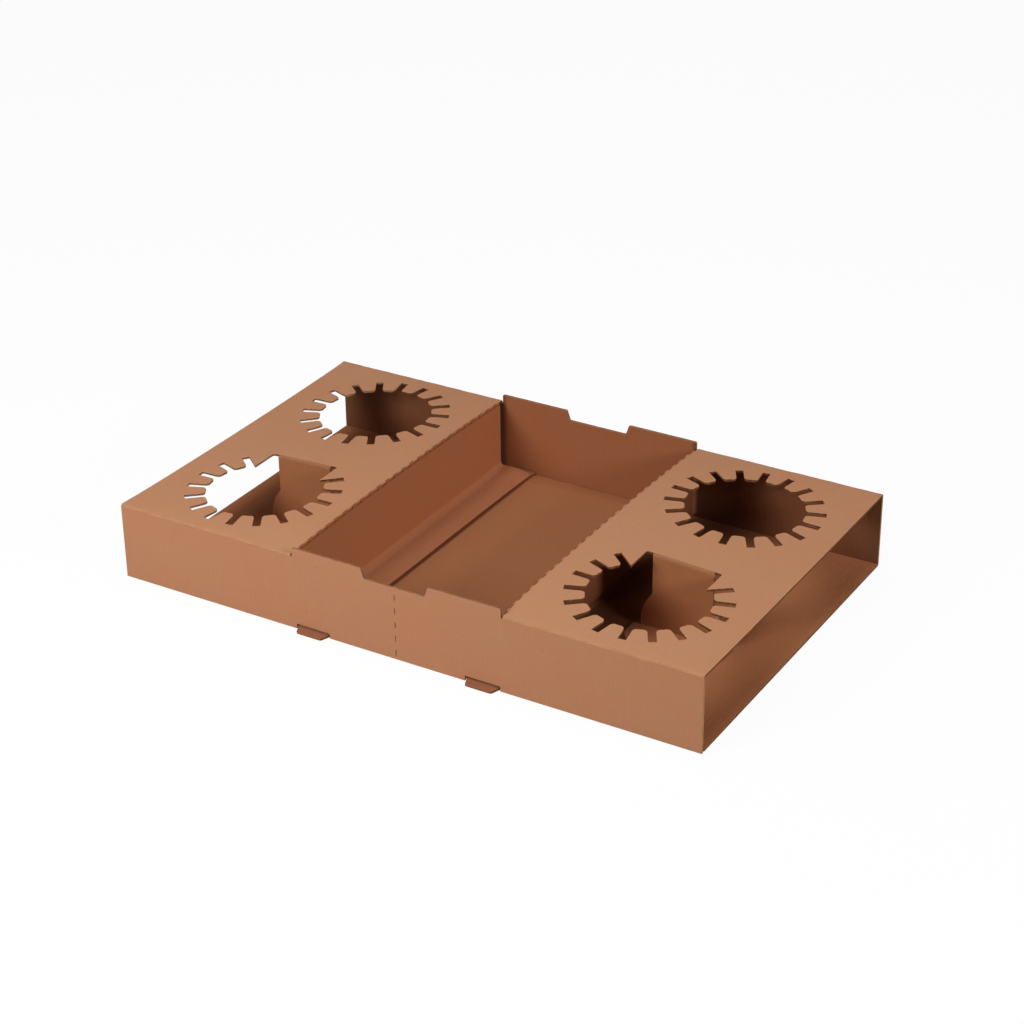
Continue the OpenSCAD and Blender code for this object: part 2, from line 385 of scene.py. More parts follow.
@dataclass(frozen=True)
class Grain:
    """Grain of the paper, shared by every kraft finish.

    A noise is its scale, octaves and roughness, a band the values of it that are
    stretched over 0 to 1, a mix the most of another colour that it brings, and a
    bump how strongly its relief tells. The clouds are the pulp's uneven colour,
    fine is the mottle between the fibres, and the wave is the washboard.

    Attributes:
        dark: Share of the paper's light in dark fibres and between flutes.
        light: The same in light fibres.
        fleck: The same in flecks.
        warm: Shares of red, green and blue where the pulp is warmer.
        fibres: Turn in degrees and scale of each direction of fibres.
        fleck_rim: Distances from a fleck's middle over which it fades.
        fleck_scale: Scale of the cells that hold a fleck each.
        fleck_noise: The noise that picks the flecks that show.
        wave_drift: How far the washboard's lines wander.
        gloss: Strength of the mirror-like light.
        rough_spread: How much the roughness varies.
        fine_share: Share of the fine mottle in the fibres' relief.
        fibre_depth: Depth of fibres in metres.
        dent_depth: Depth of the dents in metres.
    """

    dark: float = 0.80
    light: float = 1.13
    fleck: float = 0.45
    warm: tuple[float, float, float] = (1.02, 0.93, 0.86)
    cloud_noise: tuple[float, float, float] = (26.0, 5.0, 0.55)
    cloud_band: tuple[float, float] = (0.30, 0.72)
    cloud_mix: float = 0.55
    fine_noise: tuple[float, float, float] = (420.0, 3.0, 0.6)
    fine_band: tuple[float, float] = (0.45, 0.75)
    fine_mix: float = 0.30
    fibres: tuple[tuple[float, tuple[float, float, float]], ...] = (
        (24.0, (500.0, 5200.0, 5200.0)),
        (-33.0, (620.0, 6000.0, 6000.0)),
    )
    fibre_band: tuple[float, float] = (0.56, 0.74)
    fibre_mix: float = 0.22
    fleck_scale: float = 230.0
    fleck_rim: tuple[float, float] = (0.05, 0.13)
    fleck_noise: tuple[float, float] = (90.0, 1.0)
    fleck_band: tuple[float, float] = (0.56, 0.66)
    fleck_mix: float = 0.5
    wave_mix: float = 0.05
    wave_drift: float = 0.15
    wave_bump: float = 0.8
    gloss: float = 0.18
    rough_spread: float = 0.12
    fine_share: float = 0.8
    fibre_bump: float = 0.45
    fibre_depth: float = 0.00006
    dent_bump: float = 0.5
    dent_depth: float = 0.0006


GRAIN = Grain()


@dataclass(frozen=True)
class Kraft:
    """Kraft liner: mottled, fibrous brown paper over a faint washboard.

    Attributes:
        name: The material's name.
        base: The paper's display colour.
        across: The axis across the flutes, along which the washboard repeats.
        washboard: Depth of the washboard in metres.
        patch: How strongly the colour varies from place to place.
        rough: Roughness.
        shade: Painted shade: places along X, as shares of the tray's half length,
        and the share of the colour that the paper keeps there.
    """

    name: str
    base: tuple[int, int, int]
    across: Axis = Axis.X
    washboard: float = 0.00002
    patch: float = 1.0
    rough: float = 0.82
    shade: tuple[tuple[float, float], ...] = ()

    def make(self) -> bpy.types.Material:
        """Build the material's nodes.

        Returns:
            The material.
        """
        t, g = NodeTree(self.name), GRAIN
        place = t.stretched()
        base = linear(*self.base)
        dark, light = tint(base, g.dark), tint(base, g.light)
        warm = tuple(c * w for c, w in zip(base, g.warm)) + (1.0,)
        # Clouds of colour from pulp that is not quite even
        cloud = t.cloud(place, *g.cloud_noise)
        fine = t.cloud(place, *g.fine_noise)
        share = t.maths("MULTIPLY", t.ramp(cloud, *g.cloud_band), g.cloud_mix * self.patch)
        colour = t.mix(share, base, warm)
        share = t.maths("MULTIPLY", t.ramp(fine, *g.fine_band), g.fine_mix * self.patch)
        colour = t.mix(share, colour, light)
        # Fibres in two directions
        height: object = 0.0
        for turn, scale in g.fibres:
            fibre = t.ramp(t.cloud(t.stretched(scale, turn), 1.0, 2.0), *g.fibre_band)
            colour = t.mix(t.maths("MULTIPLY", fibre, g.fibre_mix), colour, light if turn > 0 else dark)
            height = t.maths("ADD", height, fibre)
        # Dark flecks of bark and bits of fibre
        flecks = t.add("TexVoronoi", Scale=g.fleck_scale, feature="F1")
        t.link(place, flecks.inputs["Vector"])
        near = t.maths("SUBTRACT", 1.0, t.ramp(flecks.outputs["Distance"], *g.fleck_rim))
        rare = t.ramp(t.cloud(place, *g.fleck_noise), *g.fleck_band)
        share = t.maths("MULTIPLY", t.maths("MULTIPLY", near, rare), g.fleck_mix)
        colour = t.mix(share, colour, tint(base, g.fleck))
        # The liner follows the flutes a little
        wave = t.add("TexWave", wave_type="BANDS", bands_direction=self.across.name, wave_profile="SIN")
        wave.inputs["Scale"].default_value = WAVE_LENGTH / FLUTING.pitch
        wave.inputs["Distortion"].default_value = g.wave_drift
        wave.inputs["Detail"].default_value = 0.0
        t.link(place, wave.inputs["Vector"])
        colour = t.mix(t.maths("MULTIPLY", wave.outputs["Fac"], g.wave_mix), colour, dark)
        # Painted shade: darker along X where the cells lie under the top panels
        if self.shade:
            colour = t.paint_shade(colour, place, self.shade)
        shader = t.add("BsdfPrincipled")
        t.link(colour, shader.inputs["Base Color"])
        shader.inputs["Specular IOR Level"].default_value = g.gloss
        spread = t.maths("MULTIPLY", fine, g.rough_spread)
        t.link(t.maths("ADD", spread, self.rough - g.rough_spread / 2), shader.inputs["Roughness"])
        normal = t.bump(wave.outputs["Fac"], g.wave_bump, self.washboard)
        fuzz = t.maths("ADD", height, t.maths("MULTIPLY", fine, g.fine_share))
        normal = t.bump(fuzz, g.fibre_bump, g.fibre_depth, normal)
        normal = t.bump(cloud, g.dent_bump, g.dent_depth, normal)
        t.link(normal, shader.inputs["Normal"])
        return t.close(shader)


@dataclass(frozen=True)
class CutEdge:
    """Raw die-cut edge: paper layers and pressed fibre ends.

    Attributes:
        name: The material's name.
        base: The edge's display colour.
        dark: Share of the base's light between the fibre ends.
        light: The same in rubbed places.
        fuzz_scale: Noise scale of the fibre ends.
        fuzz_band: Values of that noise that are stretched over 0 to 1.
        rub_scale: Noise scale of the rubbed places.
        rub_band: Values of that noise that are stretched over 0 to 1.
        rub_mix: The most of the light colour there.
        rough: Roughness.
        gloss: Strength of the mirror-like light.
        bump: How strongly the fuzz tells.
        depth: Depth of the fuzz in metres.
    """

    name: str
    base: tuple[int, int, int]
    dark: float = 0.62
    light: float = 1.2
    fuzz_scale: float = 2600.0
    fuzz_band: tuple[float, float] = (0.35, 0.7)
    rub_scale: float = 150.0
    rub_band: tuple[float, float] = (0.4, 0.7)
    rub_mix: float = 0.4
    rough: float = 0.92
    gloss: float = 0.1
    bump: float = 0.7
    depth: float = 0.00012

    def make(self) -> bpy.types.Material:
        """Build the material's nodes.

        Returns:
            The material.
        """
        t = NodeTree(self.name)
        base, place = linear(*self.base), t.stretched()
        fuzz = t.cloud(place, self.fuzz_scale, 3.0, 0.7)
        rub = t.cloud(place, self.rub_scale, 3.0)
        colour = t.mix(t.ramp(fuzz, *self.fuzz_band), tint(base, self.dark), base)
        share = t.maths("MULTIPLY", t.ramp(rub, *self.rub_band), self.rub_mix)
        colour = t.mix(share, colour, tint(base, self.light))
        shader = t.add("BsdfPrincipled", Roughness=self.rough)
        shader.inputs["Specular IOR Level"].default_value = self.gloss
        t.link(colour, shader.inputs["Base Color"])
        t.link(t.bump(fuzz, self.bump, self.depth), shader.inputs["Normal"])
        return t.close(shader)


@dataclass(frozen=True)
class SetGlue:
    """Dried cold glue between two boards.

    Attributes:
        name: The material's name.
        base: The glue's display colour.
        dark: Share of the base's light where the glue is thick.
        smear_scale: Noise scale of the smears.
        smear_band: Values of that noise that are stretched over 0 to 1.
        rough: Roughness.
        bump: How strongly the smears tell.
        depth: Their depth in metres.
    """

    name: str
    base: tuple[int, int, int]
    dark: float = 0.8
    smear_scale: float = 340.0
    smear_band: tuple[float, float] = (0.3, 0.7)
    rough: float = 0.35
    bump: float = 0.5
    depth: float = 0.0002

    def make(self) -> bpy.types.Material:
        """Build the material's nodes.

        Returns:
            The material.
        """
        t = NodeTree(self.name)
        base, place = linear(*self.base), t.stretched()
        smear = t.cloud(place, self.smear_scale, 4.0)
        colour = t.mix(t.ramp(smear, *self.smear_band), base, tint(base, self.dark))
        shader = t.add("BsdfPrincipled", Roughness=self.rough)
        t.link(colour, shader.inputs["Base Color"])
        t.link(t.bump(smear, self.bump, self.depth), shader.inputs["Normal"])
        return t.close(shader)


@dataclass(frozen=True)
class Fluting:
    """The board's medium: a wave between two liners.

    Attributes:
        pitch: Length of one wave.
        liner: Thickness of a liner.
        medium: Thickness of the medium.
        reach: Half of a void's width, as a share of the pitch.
        steps: Shares of that half width at which a void's section has points.
    """

    pitch: float = 0.00324
    liner: float = 0.00024
    medium: float = 0.0002
    reach: float = 0.41
    steps: tuple[float, ...] = (-1.0, -0.66, -0.33, 0.0, 0.33, 0.66, 1.0)

    def voids(self, run: Axis, across: Axis, low: Vector, high: Vector) -> bmesh.types.BMesh:
        """Make the voids on both sides of the medium as closed prisms.

        Args:
            run: The axis that the flutes run along.
            across: The axis across them, in the board's plane.
            low: Low corner of the room for them; its other axis is the
                board's low face.
            high: High corner of that room.

        Returns:
            The prisms, apart from each other.
        """
        r, a = run.value, across.value
        t = 3 - r - a
        middle = (low[t] + high[t]) / 2
        deep = (high[t] - low[t]) / 2 - self.liner
        tip = deep - self.medium
        half = self.reach * self.pitch
        room = high[a] - low[a]
        count = int((room - 2 * half) / (self.pitch / 2)) + 1
        first = (low[a] + high[a]) / 2 - (count - 1) * self.pitch / 4
        bm = bmesh.new()
        for facing in (1, -1):
            corners = []
            for share in self.steps:
                place = [0.0, 0.0, 0.0]
                place[a] = share * half
                place[t] = facing * ((deep + tip) * math.sin(math.pi / 2 * abs(share)) ** 2 - tip) + middle
                place[r] = low[r]
                corners.append(bm.verts.new(place))
            face = bm.faces.new(corners)
            grown = bmesh.ops.extrude_face_region(bm, geom=[face])["geom"]
            top = [g for g in grown if isinstance(g, bmesh.types.BMVert)]
            bmesh.ops.translate(bm, vec=run.unit * (high[r] - low[r]), verts=top)
            prism = corners + top
            edges = dict.fromkeys(e for v in prism for e in v.link_edges)
            sides = dict.fromkeys(f for v in prism for f in v.link_faces)
            whole = [*prism, *edges, *sides]
            begin = 0 if facing > 0 else 1
            bmesh.ops.translate(bm, vec=across.unit * (first + begin * self.pitch / 2), verts=prism)
            for index in range(1, (count - begin + 1) // 2):
                twin = bmesh.ops.duplicate(bm, geom=whole)["geom"]
                moved = [g for g in twin if isinstance(g, bmesh.types.BMVert)]
                bmesh.ops.translate(bm, vec=across.unit * (index * self.pitch), verts=moved)
        bmesh.ops.recalc_face_normals(bm, faces=bm.faces)
        return bm


FLUTING = Fluting()


class Palette:
    """All finishes of the tray, made once."""

    def __init__(self) -> None:
        """Build the materials."""
        self.top = Kraft("kraft_top", (190, 137, 102)).make()
        self.wall = Kraft("kraft_wall", (190, 133, 98), washboard=0.00005).make()
        # Painted shade on the back wall's inside and the glue flap: dark in the cells beyond the well,
        # lighter towards the open ends
        self.rear_painted_shade = Kraft(
            "kraft_rear_painted_shade", (157, 99, 65), washboard=0.00004,
            shade=(
                (0.0, 1.0), (0.34, 1.0), (0.36, 0.36), (0.5, 0.40),
                (0.62, 0.62), (0.81, 0.66), (0.9, 0.52), (1.0, 0.55),
            ),
        ).make()
        # Painted shade on the floor's inside: dark in the cells beyond the well, lighter towards the open
        # ends
        self.ground_painted_shade = Kraft(
            "kraft_ground_painted_shade", (184, 120, 80), washboard=0.00004,
            shade=(
                (0.0, 0.79), (0.35, 0.77), (0.37, 0.36), (0.46, 0.42),
                (0.62, 0.66), (0.8, 0.9), (1.0, 0.96),
            ),
        ).make()
        # Painted shade: the well's wall and foot are the top liner, darker and redder as in the well's
        # shade
        self.well = Kraft("kraft_well_painted_shade", (178, 113, 74), across=Axis.Z, washboard=0.00002).make()
        self.foot = Kraft("kraft_foot_painted_shade", (170, 110, 76), across=Axis.Z, washboard=0.00002).make()
        # Painted shade: a dark copy of the liner for the well walls' outsides and top ends, which lie in
        # the cells' shade
        self.dim = Kraft("kraft_painted_shade", (124, 72, 45), washboard=0.00002).make()
        # Painted shade: the bridges' round bend is darkened so that it catches no light
        self.bent = Kraft("painted_shade_bridges", (144, 85, 54), washboard=0.0).make()
        # Painted shade: the lock tabs are darker than the foot that they belong to, for the shade at their
        # slots
        self.tab = Kraft("kraft_tab_painted_shade", (150, 98, 70), washboard=0.00002).make()
        # Painted shade: the divider's fold is darkened so that it shows no light line
        self.fold = Kraft("painted_shade_fold", (158, 104, 72), washboard=0.0).make()
        # Painted shade: the divider flaps take a darker copy of the top liner, as in the shade of the
        # holes
        self.flap = Kraft("kraft_flap", (168, 107, 70), washboard=0.00003).make()
        self.rubbed = Kraft("rubbed_crease", (180, 130, 96), washboard=0.0, patch=1.6).make()
        # The dark cut edge is partly the board's own edge colour and partly painted shade for the holes
        # and slots; the walls' cut edge is lighter
        self.edge = CutEdge("cut_edge_and_painted_shade", (132, 84, 53)).make()
        self.wall_edge = CutEdge("wall_edge", (190, 134, 98)).make()
        self.pale_edge = CutEdge("pale_edge", (212, 168, 136)).make()
        self.void = CutEdge("flute_void", (158, 106, 72)).make()
        self.glue = SetGlue("set_glue", (214, 196, 150)).make()


# The bench


class Bench:
    """Mesh chores that every piece needs."""

    @staticmethod
    def cad_copy(node: str) -> bmesh.types.BMesh:
        """Copy a CAD node's mesh, merged and with its flat faces joined.

        Args:
            node: The CAD node's name.

        Returns:
            The copy.
        """
        bm = bmesh.new()
        bm.from_mesh(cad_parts[node].data)
        bmesh.ops.remove_doubles(bm, verts=bm.verts, dist=1e-6)
        bmesh.ops.dissolve_limit(bm, angle_limit=math.radians(0.4), verts=bm.verts, edges=bm.edges)
        return bm

    @staticmethod
    def soften(bm: bmesh.types.BMesh, width: float = 0.00012, angle: float = 55.0) -> None:
        """Round the sharp edges a little, apart from those of the tear line.

        Args:
            bm: The mesh.
            width: The bevel's offset.
            angle: Edges that turn by more than this, in degrees, are sharp.
        """
        sharp = [
            e for e in bm.edges
            if len(e.link_faces) == 2 and e.calc_face_angle(0.0) > math.radians(angle)
            and max(abs(v.co.x) for v in e.verts) > TRAY.tear_half + TRAY.near
        ]
        bmesh.ops.bevel(
            bm, geom=sharp, offset=width, affect="EDGES", segments=1,
            profile=0.5, material=-1, clamp_overlap=True,
        )

    @staticmethod
    def section(corners: list[Vector]) -> tuple[bmesh.types.BMesh, bmesh.types.BMFace]:
        """Start a board from its end face.

        Args:
            corners: The face's corners in order.

        Returns:
            The mesh and its one face.
        """
        bm = bmesh.new()
        face = bm.faces.new([bm.verts.new(c) for c in corners])
        return bm, face

    @staticmethod
    def push(
        bm: bmesh.types.BMesh, faces: list[bmesh.types.BMFace], by: Vector
    ) -> list[bmesh.types.BMFace]:
        """Extrude faces.

        Args:
            bm: The mesh.
            faces: The faces to extrude.
            by: How far they go.

        Returns:
            The faces at the new end.
        """
        grown = bmesh.ops.extrude_face_region(bm, geom=faces)["geom"]
        bmesh.ops.translate(bm, vec=by, verts=[g for g in grown if isinstance(g, bmesh.types.BMVert)])
        return [g for g in grown if isinstance(g, bmesh.types.BMFace)]

    @staticmethod
    def swing(
        bm: bmesh.types.BMesh, faces: list[bmesh.types.BMFace], centre: Vector, axis: Axis,
        angle: float = 90.0, steps: int = 6,
    ) -> list[bmesh.types.BMFace]:
        """Carry faces round an axis.

        Args:
            bm: The mesh.
            faces: The faces to carry.
            centre: A point on the axis.
            axis: The axis.
            angle: How far, in degrees.
            steps: In how many steps.

        Returns:
            The faces at the new end.
        """
        done = bmesh.ops.spin(
            bm, geom=faces, cent=centre, axis=axis.unit, angle=math.radians(angle),
            steps=steps, use_merge=False,
        )["geom_last"]
        return [g for g in done if isinstance(g, bmesh.types.BMFace)]

    @staticmethod
    def piece(name: str, bm: bmesh.types.BMesh, *finishes: bpy.types.Material) -> bpy.types.Object:
        """Turn a mesh into an object at the origin and free it.

        Args:
            name: The piece's name.
            bm: Its mesh.
            *finishes: Its materials in slot order.

        Returns:
            The object.
        """
        mesh = bpy.data.meshes.new(name)
        bm.to_mesh(mesh)
        bm.free()
        # Normals that came with the CAD import don't fit the cut faces
        if "custom_normal" in mesh.attributes:
            mesh.attributes.remove(mesh.attributes["custom_normal"])
        for finish in finishes:
            mesh.materials.append(finish)
        obj = bpy.data.objects.new(name, mesh)
        bpy.context.scene.collection.objects.link(obj)
        return obj

    @staticmethod
    def cut(obj: bpy.types.Object, tool: bmesh.types.BMesh, finish: bpy.types.Material) -> None:
        """Cut a shape out of a piece.

        Args:
            obj: The piece.
            tool: The shape that is taken away; it is freed.
            finish: The finish of the faces that the cut makes.
        """
        cutter = Bench.piece("cutter", tool, finish)
        step = obj.modifiers.new("cut", "BOOLEAN")
        step.operation, step.solver, step.material_mode = "DIFFERENCE", "EXACT", "TRANSFER"
        step.object = cutter
        graph = bpy.context.evaluated_depsgraph_get()
        made = bpy.data.meshes.new_from_object(obj.evaluated_get(graph))
        old, obj.data = obj.data, made
        obj.modifiers.clear()
        made.name = obj.name
        bpy.data.meshes.remove(old)
        spent = cutter.data
        bpy.data.objects.remove(cutter)
        bpy.data.meshes.remove(spent)

    @staticmethod
    def shade(obj: bpy.types.Object, angle: float) -> None:
        """Shade smooth, with edges that turn by more than the angle kept sharp."""
        obj.data.shade_smooth()
        obj.data.set_sharp_from_angle(angle=math.radians(angle))

    @staticmethod
    def shade_bends(obj: bpy.types.Object) -> None:
        """Shade smooth only what isn't square to an axis, such as round bends.

        Args:
            obj: The piece.
        """
        for face in obj.data.polygons:
            face.use_smooth = max(abs(c) for c in face.normal) < 0.9999
        obj.data.set_sharp_from_angle(angle=math.radians(30))

    @staticmethod
    def report(obj: bpy.types.Object) -> None:
        """Log a piece's name and how many faces it has."""
        log.info("%s: %d faces", obj.name, len(obj.data.polygons))


@dataclass(frozen=True)
class Bulge:
    """How the top panels bulge: up along the well, down at the open ends.

    Attributes:
        rises: Rise of the left and the right panel's edge at the well,
            halfway between the walls.
        sags: Drop of their edges at the open ends.
        crown: Power of the curve from front to back; under 1 it is broad.
        droop: Power of the drop's curve towards the open end.
        rows: Divisions from front to back.
        columns: Divisions along the length.
    """

    rises: tuple[float, float] = (0.0028, 0.0034)
    sags: tuple[float, float] = (0.0016, 0.0006)
    crown: float = 0.7
    droop: float = 1.5
    rows: int = 16
    columns: int = 8

    def at(self, x: float, y: float) -> float:
        """Tell the rise at a place.

        Args:
            x: Place along the tray.
            y: Place across it.

        Returns:
            The rise in metres.
        """
        t = TRAY
        across = max(0.0, 1 - (y / (t.half_d - t.board)) ** 2) ** self.crown
        along = min(1.0, max(0.0, (t.half_l - abs(x)) / (t.half_l - t.panel_edge_x)))
        rise, sag = self.rises[x > 0], self.sags[x > 0]
        ease = along * along * (3 - 2 * along)
        return across * (rise * ease - sag * (1 - ease) ** self.droop)

    def bend(self, obj: bpy.types.Object) -> None:
        """Cut a piece into strips and raise them.

        Args:
            obj: A top panel.
        """
        bm = bmesh.new()
        bm.from_mesh(obj.data)
        low = min(v.co.x for v in bm.verts)
        high = max(v.co.x for v in bm.verts)
        ys = [TRAY.half_d * (2 * i / self.rows - 1) for i in range(1, self.rows)]
        xs = [low + (high - low) * i / self.columns for i in range(1, self.columns)]
        spots = [(Vector((0, y, 0)), Axis.Y.unit) for y in ys]
        spots += [(Vector((x, 0, 0)), Axis.X.unit) for x in xs]
        for spot, normal in spots:
            whole = list(bm.verts) + list(bm.edges) + list(bm.faces)
            bmesh.ops.bisect_plane(bm, geom=whole, dist=1e-6, plane_co=spot, plane_no=normal)
        for vert in bm.verts:
            vert.co.z += self.at(vert.co.x, vert.co.y)
        bm.to_mesh(obj.data)
        bm.free()


BULGE = Bulge()


# The board's pieces


@dataclass
class Panel:
    """One flat CAD panel, dressed as cut corrugated board.

    Attributes:
        node: The CAD node that it replaces.
        body: The CAD body that it rides on.
        slot: The record's material slot; not used.
        finish: The liner's finish.
        run: The axis that the flutes run along.
        across: The axis across them.
        run_room: Where the flutes' voids begin and end along the run; None
            leaves the board solid.
        tear: Width of the tear line's cuts as a share of the CAD's.
        edge: The finish of its cut edges; None takes the holes' dark one, partly painted shade.
        bows: Whether the panel bulges with the tops.
        spread: Growth of the piece's width about its middle; the lock tabs
            fill the slots that they are wedged into.
        wedge: Rise of a lock tab's upper face inside the wall, up to its
            slot's top.
        pale: The finish of the cut edges beyond pale_x; None for no such
            edges.
        pale_x: Where the pale cut edges begin, on the left.
        outer: The outer liner's finish; None where both liners are alike.
    """

    node: str
    body: str
    slot: str
    finish: bpy.types.Material
    run: Axis
    across: Axis
    run_room: tuple[float, float] | None
    tear: float = 0.55
    edge: bpy.types.Material | None = None
    bows: bool = False
    spread: float = 1.0
    wedge: float = 0.0
    pale: bpy.types.Material | None = None
    pale_x: float = -0.137
    outer: bpy.types.Material | None = None

    @property
    def through(self) -> int:
        """The place in a vector of the axis through the board."""
        return 3 - self.run.value - self.across.value

    def skin(self, face: bmesh.types.BMFace) -> bool:
        """Tell whether a face is liner: level with the board, or part of a bend.

        Args:
            face: The face.

        Returns:
            True for liner, False for a cut edge.
        """
        inside = TRAY.half_d - 1.02 * TRAY.board  # Just inside the walls' inner faces
        at_wall = abs(face.calc_center_median().y) > inside
        bend = self.through == Axis.Z.value and at_wall and abs(face.normal.x) < 0.5
        return abs(face.normal[self.through]) > FACING or bend

    def part(self, face: bmesh.types.BMFace, middle: Vector) -> int:
        """Tell which part of the board a face is.

        Args:
            face: The face.
            middle: The panel's middle.

        Returns:
            0 for the inner liner, 1 for a cut edge, 2 for a pale cut edge
            and 3 for the outer liner.
        """
        if not self.skin(face):
            return 2 if self.pale and face.calc_center_median().x < self.pale_x else 1
        outwards = (middle - Axis.Z.unit * TRAY.top_z / 2)[self.through]
        return 3 if self.outer and face.normal[self.through] * outwards > 0 else 0

    def fit(self, bm: bmesh.types.BMesh, middle: float) -> None:
        """Narrow the tear line's cuts, and make a lock tab fill its slot.

        Args:
            bm: The mesh.
            middle: The panel's middle along X.
        """
        t = TRAY
        for vert in bm.verts:
            if t.near < abs(vert.co.x) < t.tear_half + t.near:
                vert.co.x *= self.tear
            vert.co.x += (self.spread - 1) * (vert.co.x - middle)
            inside_wall = abs(abs(vert.co.y) - (t.half_d - t.board)) < t.margin
            if inside_wall and vert.co.z > t.half_t:
                vert.co.z += self.wedge

    def flute(self, obj: bpy.types.Object, finish: bpy.types.Material) -> None:
        """Cut the flutes' voids through the board.

        Args:
            obj: The panel.
            finish: The voids' finish.
        """
        low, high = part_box(self.node)
        low[self.across.value] += TRAY.margin
        high[self.across.value] -= TRAY.margin
        low[self.run.value], high[self.run.value] = self.run_room
        Bench.cut(obj, FLUTING.voids(self.run, self.across, low, high), finish)

    def build(self, palette: Palette) -> bpy.types.Object:
        """Make the dressed panel.

        Args:
            palette: The finishes.

        Returns:
            The finished piece.
        """
        bm = Bench.cad_copy(self.node)
        bm.normal_update()
        middle = (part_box(self.node)[0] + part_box(self.node)[1]) / 2
        for face in bm.faces:
            face.material_index = self.part(face, middle)
        Bench.soften(bm)
        self.fit(bm, middle.x)
        edge = self.edge or palette.edge
        finishes = (self.finish, edge, self.pale or edge, self.outer or self.finish)
        obj = Bench.piece(self.node + "_board", bm, *finishes)
        if self.run_room is not None:
            self.flute(obj, palette.void)
        Bench.shade_bends(obj)
        if self.bows:
            BULGE.bend(obj)
        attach(obj, self.body)
        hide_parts(self.node)
        Bench.report(obj)
        return obj


@dataclass
class Sleeve:
    """Floor, walls, top panels and glue flap of one half of the tray.

    Attributes:
        side: Which half.
        palette: The finishes.
        shut: Solid board left beyond a void's blind end.
        clear: Height above every piece, where upright voids end.
        hairline: Width of a tear line's closed cuts, as a share of the CAD's.
        bead_r: Radius of the bead along a top crease.
        bead_place: How far the bead's middle line lies outside the walls' inner
            face, and above the top panel's underside.
        bead_ends: Gaps left at the bead's ends, at the well and outside.
        bead_steps: Divisions along the bead.
        ripples: Pace along X, row and layer of the noise that moves the bead
            sideways, and the same for up and down.
        ripple: How far that noise moves it.
    """

    side: Side
    palette: Palette
    shut: float = 0.0002
    clear: float = 0.054
    hairline: float = 0.02
    bead_r: float = 0.00072
    bead_place: tuple[float, float] = (0.000616, 0.0006512)
    bead_ends: tuple[float, float] = (0.0003, 0.0002)
    bead_steps: int = 96
    ripples: tuple[tuple[float, float, float], ...] = ((210.0, 3.1, 0.4), (90.0, 7.3, 2.2))
    ripple: float = 0.00016

    def panels(self) -> list[Panel]:
        """List the half's panels with the way their flutes run.

        Returns:
            The panels, not yet built.
        """
        p, t, w = self.palette, TRAY, self.side.word
        level = t.half_d - t.board - self.shut
        lying, upright = (Axis.Y, Axis.X), (Axis.Z, Axis.X)
        on_floor = (t.board + self.shut, self.clear)
        return [
            Panel(
                f"top_panel_{w}", "sleeve", "kraft_top", p.top, *lying, (-level, level),
                bows=True, pale=p.pale_edge,
            ),
            Panel(
                f"front_wall_{w}", "sleeve", "kraft_wall", p.wall, *upright,
                (-t.over, self.clear), tear=1.0, edge=p.wall_edge,
            ),
            Panel(
                f"back_wall_{w}", "sleeve", "kraft_wall", p.rear_painted_shade, *upright, on_floor,
                tear=self.hairline, edge=p.wall_edge, outer=p.wall,
            ),
            Panel(
                f"floor_{w}", "sleeve", "kraft_floor", p.ground_painted_shade, *lying, None,
                tear=self.hairline, outer=p.wall,
            ),
            Panel(f"glue_flap_{w}", "sleeve", "kraft_floor", p.rear_painted_shade, *upright, on_floor),
        ]

    def build(self) -> None:
        """Make the panels and the beads along the top creases."""
        for panel in self.panels():
            panel.build(self.palette)
        for row in Row:
            self.bead(row)

    def bead(self, row: Row) -> None:
        """Make the rolled, rubbed bead along a top panel's crease.

        Args:
            row: The crease's row.
        """
        t, s, sign = TRAY, self.side.value, row.value
        start, end = t.panel_edge_x + self.bead_ends[0], t.half_l - self.bead_ends[1]
        out, up = self.bead_place
        place = Matrix.Translation((start, sign * (t.half_d - t.board + out), t.top_z - t.board + up))
        bm = bmesh.new()
        ring = bmesh.ops.create_circle(
            bm, cap_ends=True, segments=10, radius=self.bead_r,
            matrix=place @ Matrix.Rotation(math.radians(90), 4, "Y"),
        )["verts"]
        faces = list(ring[0].link_faces)
        for _ in range(self.bead_steps):
            faces = Bench.push(bm, faces, Vector(((end - start) / self.bead_steps, 0, 0)))
        for v in bm.verts:
            sideways, upwards = (
                self.ripple * noise.noise(Vector((v.co.x * pace * s, sign * lane, layer)))
                for pace, lane, layer in self.ripples
            )
            v.co = (v.co.x * s, v.co.y + sign * sideways, v.co.z + upwards)
        bmesh.ops.recalc_face_normals(bm, faces=bm.faces)
        obj = Bench.piece(f"crease_bead_{row.word}_{self.side.word}", bm, self.palette.rubbed)
        Bench.shade(obj, 50)
        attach(obj, "sleeve")
        Bench.report(obj)


